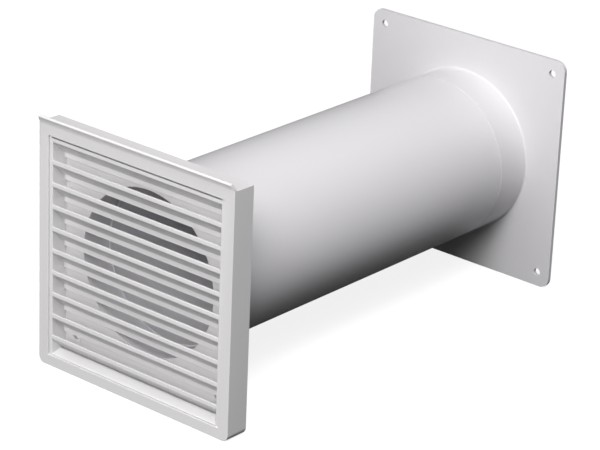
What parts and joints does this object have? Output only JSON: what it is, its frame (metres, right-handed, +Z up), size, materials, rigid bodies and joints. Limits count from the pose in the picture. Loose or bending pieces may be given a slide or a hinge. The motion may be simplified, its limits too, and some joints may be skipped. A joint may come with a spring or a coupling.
{
  "type": "round telescopic wall duct with louvred grille",
  "caption": "Round telescopic wall duct: louvred outside grille with rain lip, two sliding tubes and a square wall plate with a collar.",
  "frame": {"origin": "on the duct's axis, in the rear face of the wall plate, at the mouth of the inner tube's bore in the room", "axes": "+Y along the duct from the grille to the room, +Z up, +X to the right as seen from in front of the grille"},
  "size_m": [0.156, 0.3147, 0.1599],
  "materials": {
    "grille_plastic": "satin white moulded plastic",
    "louvre_plastic": "satin white moulded plastic",
    "tube_plastic": "satin white extruded plastic",
    "plate_plastic": "satin white moulded plastic"
  },
  "bodies": {
    "room_section": {"inner_tube": "tube_plastic", "wall_plate": "plate_plastic"},
    "grille_section": {"grille_housing": "grille_plastic", "louvre_insert": "louvre_plastic", "outer_tube": "tube_plastic"}
  },
  "joints": [
    {"name": "telescope", "type": "slide", "parent": "room_section", "child": "grille_section", "axis": [0, -1, 0], "range_m": [0, 0.2]}
  ]
}
